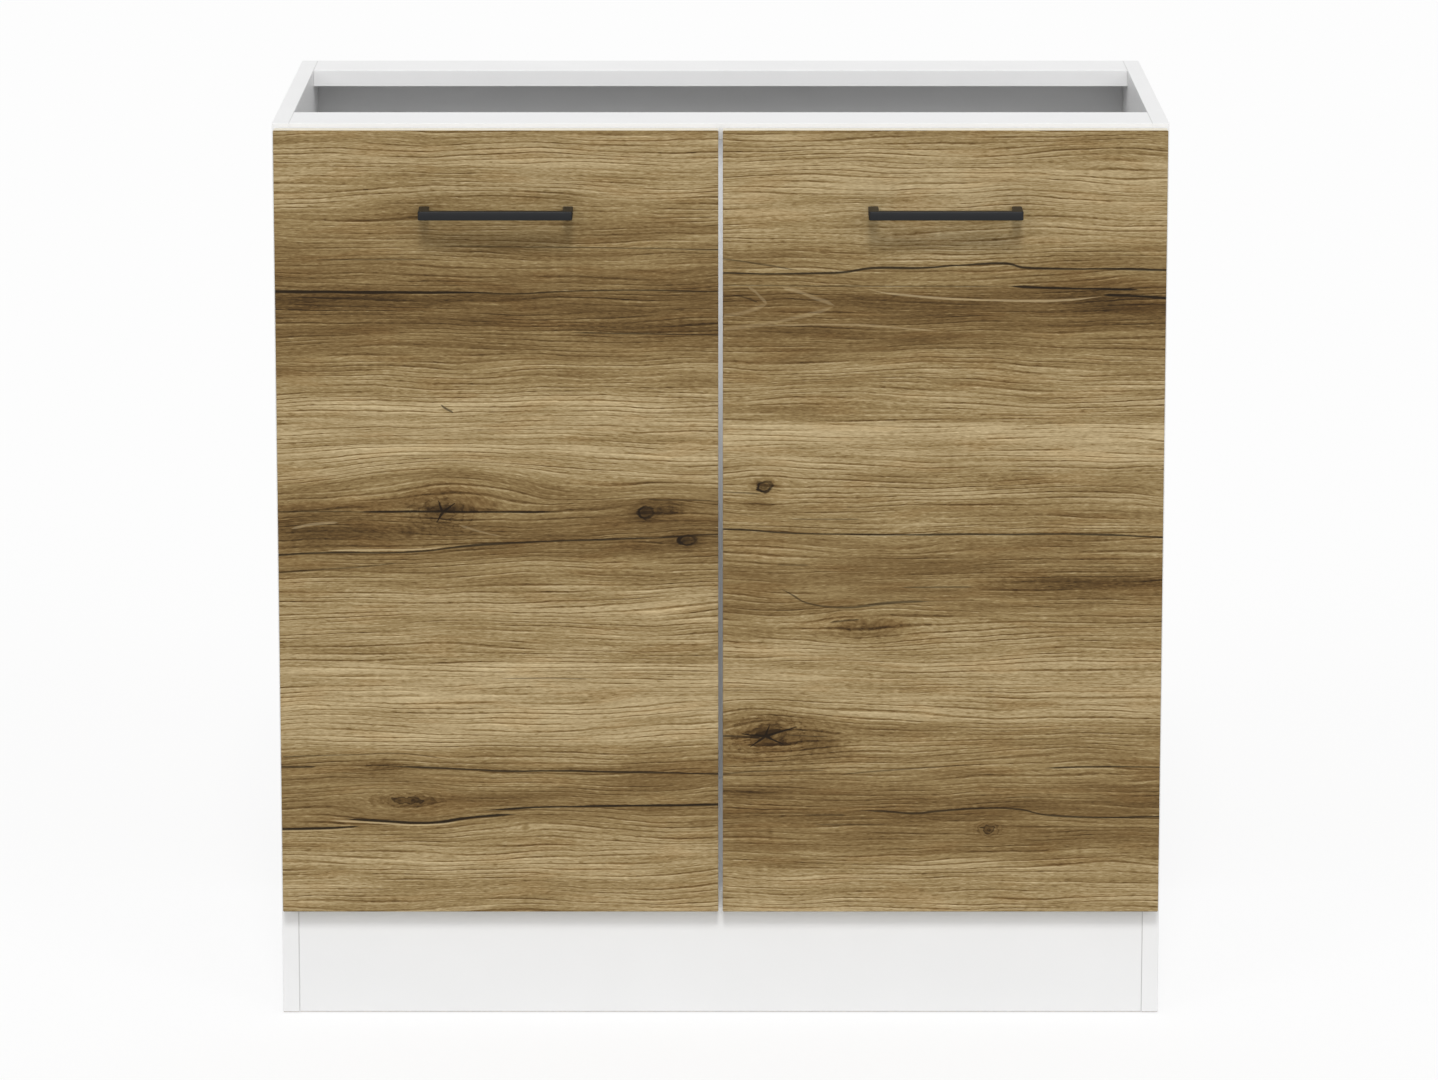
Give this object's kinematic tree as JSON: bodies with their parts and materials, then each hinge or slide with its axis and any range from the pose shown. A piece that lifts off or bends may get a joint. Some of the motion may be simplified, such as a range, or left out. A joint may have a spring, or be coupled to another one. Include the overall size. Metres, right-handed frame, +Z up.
{
  "type": "sink base cabinet",
  "caption": "Free-standing sink base cabinet: white open-topped carcass on a plinth with two wood-look doors, dark bar handles and concealed cup hinges.",
  "frame": {"origin": "on the floor, at the middle of the width and of the overall depth (handle fronts to back board)", "axes": "+X to the right seen from the front, +Y to the back, +Z up"},
  "size_m": [0.8, 0.4984, 0.82],
  "materials": {
    "white_board": "white melamine board",
    "back_board": "thin fibreboard, white on its inner face",
    "oak_board": "rustic oak decor, matte, horizontal grain",
    "black_metal": "matte black powder coat",
    "nickel_steel": "nickel-plated pressed steel",
    "zinc_steel": "zinc-plated steel",
    "dark_plastic": "dark grey plastic",
    "clear_rubber": "clear soft buffer"
  },
  "bodies": {
    "carcass": {"side_panel_left": "white_board", "side_panel_right": "white_board", "bottom_panel": "white_board", "top_rail_front": "white_board", "top_rail_rear": "white_board", "plinth_board": "white_board", "back_panel": "back_board", "joining_screw_bottom_front_left": "zinc_steel", "joining_screw_bottom_rear_left": "zinc_steel", "joining_screw_front_rail_left": "zinc_steel", "joining_screw_rear_rail_left": "zinc_steel", "floor_glide_front_left": "dark_plastic", "floor_glide_rear_left": "dark_plastic", "hinge_arm_lower_left": "nickel_steel", "hinge_mounting_plate_lower_left": "nickel_steel", "hinge_adjusting_screw_lower_left": "zinc_steel", "hinge_fixing_screw_lower_left": "zinc_steel", "hinge_arm_upper_left": "nickel_steel", "hinge_mounting_plate_upper_left": "nickel_steel", "hinge_adjusting_screw_upper_left": "zinc_steel", "hinge_fixing_screw_upper_left": "zinc_steel", "joining_screw_bottom_front_right": "zinc_steel", "joining_screw_bottom_rear_right": "zinc_steel", "joining_screw_front_rail_right": "zinc_steel", "joining_screw_rear_rail_right": "zinc_steel", "floor_glide_front_right": "dark_plastic", "floor_glide_rear_right": "dark_plastic", "hinge_arm_lower_right": "nickel_steel", "hinge_mounting_plate_lower_right": "nickel_steel", "hinge_adjusting_screw_lower_right": "zinc_steel", "hinge_fixing_screw_lower_right": "zinc_steel", "hinge_arm_upper_right": "nickel_steel", "hinge_mounting_plate_upper_right": "nickel_steel", "hinge_adjusting_screw_upper_right": "zinc_steel", "hinge_fixing_screw_upper_right": "zinc_steel"},
    "door_left": {"door_left": "oak_board", "handle_left": "black_metal", "handle_screw_left_1": "zinc_steel", "handle_screw_left_2": "zinc_steel", "door_buffer_lower_left": "clear_rubber", "door_buffer_upper_left": "clear_rubber", "hinge_cup_lower_left": "nickel_steel", "hinge_cup_upper_left": "nickel_steel"},
    "outer_links_left": {"hinge_outer_link_lower_left": "nickel_steel", "hinge_outer_link_upper_left": "nickel_steel"},
    "inner_links_left": {"hinge_inner_link_lower_left": "nickel_steel", "hinge_inner_link_upper_left": "nickel_steel"},
    "door_right": {"door_right": "oak_board", "handle_right": "black_metal", "handle_screw_right_1": "zinc_steel", "handle_screw_right_2": "zinc_steel", "door_buffer_lower_right": "clear_rubber", "door_buffer_upper_right": "clear_rubber", "hinge_cup_lower_right": "nickel_steel", "hinge_cup_upper_right": "nickel_steel"},
    "outer_links_right": {"hinge_outer_link_lower_right": "nickel_steel", "hinge_outer_link_upper_right": "nickel_steel"},
    "inner_links_right": {"hinge_inner_link_lower_right": "nickel_steel", "hinge_inner_link_upper_right": "nickel_steel"}
  },
  "joints": [
    {"name": "outer_links_left_turn", "type": "hinge", "parent": "carcass", "child": "outer_links_left", "pos_m": [-0.368, -0.20425, 0.458], "axis": [0, 0, 1], "range_deg": [0, 17.5]},
    {"name": "door_left_swing", "type": "hinge", "parent": "outer_links_left", "child": "door_left", "pos_m": [-0.39, -0.20795, 0.458], "axis": [0, 0, -1], "range_deg": [0, 117.3]},
    {"name": "inner_links_left_turn", "type": "hinge", "parent": "carcass", "child": "inner_links_left", "pos_m": [-0.3657, -0.19415, 0.458], "axis": [0, 0, 1], "range_deg": [0, 31]},
    {"name": "outer_links_right_turn", "type": "hinge", "parent": "carcass", "child": "outer_links_right", "pos_m": [0.368, -0.20425, 0.458], "axis": [0, 0, -1], "range_deg": [0, 17.5]},
    {"name": "door_right_swing", "type": "hinge", "parent": "outer_links_right", "child": "door_right", "pos_m": [0.39, -0.20795, 0.458], "axis": [0, 0, 1], "range_deg": [0, 117.3]},
    {"name": "inner_links_right_turn", "type": "hinge", "parent": "carcass", "child": "inner_links_right", "pos_m": [0.3657, -0.19415, 0.458], "axis": [0, 0, -1], "range_deg": [0, 31]}
  ],
  "couplings": [
    {"joint": "outer_links_left_turn", "follows": "door_left_swing", "ratio": 0.14749},
    {"joint": "inner_links_left_turn", "follows": "door_left_swing", "ratio": 0.26258},
    {"joint": "outer_links_right_turn", "follows": "door_right_swing", "ratio": 0.14749},
    {"joint": "inner_links_right_turn", "follows": "door_right_swing", "ratio": 0.26258}
  ]
}
